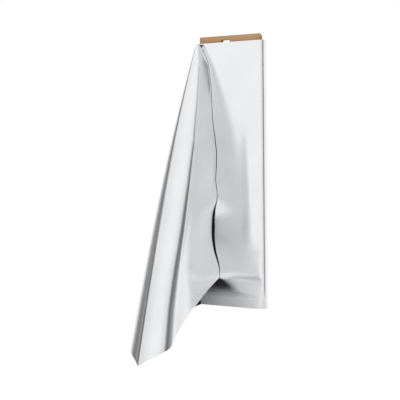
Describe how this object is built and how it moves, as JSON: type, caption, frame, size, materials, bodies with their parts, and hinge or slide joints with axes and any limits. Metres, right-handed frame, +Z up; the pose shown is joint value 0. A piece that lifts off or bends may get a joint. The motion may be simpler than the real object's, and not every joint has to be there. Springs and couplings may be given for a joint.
{
  "type": "bolt of foil-faced sheet",
  "caption": "Silver foil-faced sheet with a black backing, wound on a flat corrugated board with a hang slot, its free end drooping in a cone over the front.",
  "frame": {"origin": "middle of the top rim of the board's hang slot, half way through the board's thickness", "axes": "+Z up along the roll's height, +X to the right along the width of the front face, -Y out of the front face"},
  "size_m": [0.3374, 0.3415, 0.8151],
  "materials": {
    "kraft_board": "matt brown kraft liner, corrugated, flutes showing at the cut ends",
    "foil_sheet": "silver foil face with a fine grain, satin to bright, on a flexible black backing"
  },
  "bodies": {
    "board": {"board_front_panel": "kraft_board", "board_back_panel": "kraft_board", "board_left_wall": "kraft_board", "board_right_wall": "kraft_board", "board_glue_flap": "kraft_board", "board_rib_left": "kraft_board", "board_rib_right": "kraft_board"},
    "roll": {"wound_sheet": "foil_sheet"},
    "free_end": {"free_end": "foil_sheet"}
  },
  "joints": [
    {"name": "roll_slide", "type": "slide", "parent": "board", "child": "roll", "axis": [0, 0, 1], "range_m": [-0.03, 0.017]},
    {"name": "free_end_swing", "type": "hinge", "parent": "roll", "child": "free_end", "pos_m": [-0.0796, 0.01192, 0], "axis": [0, 0, -1], "range_deg": [0, 35], "stiffness_Nm_per_rad": 0.12}
  ]
}
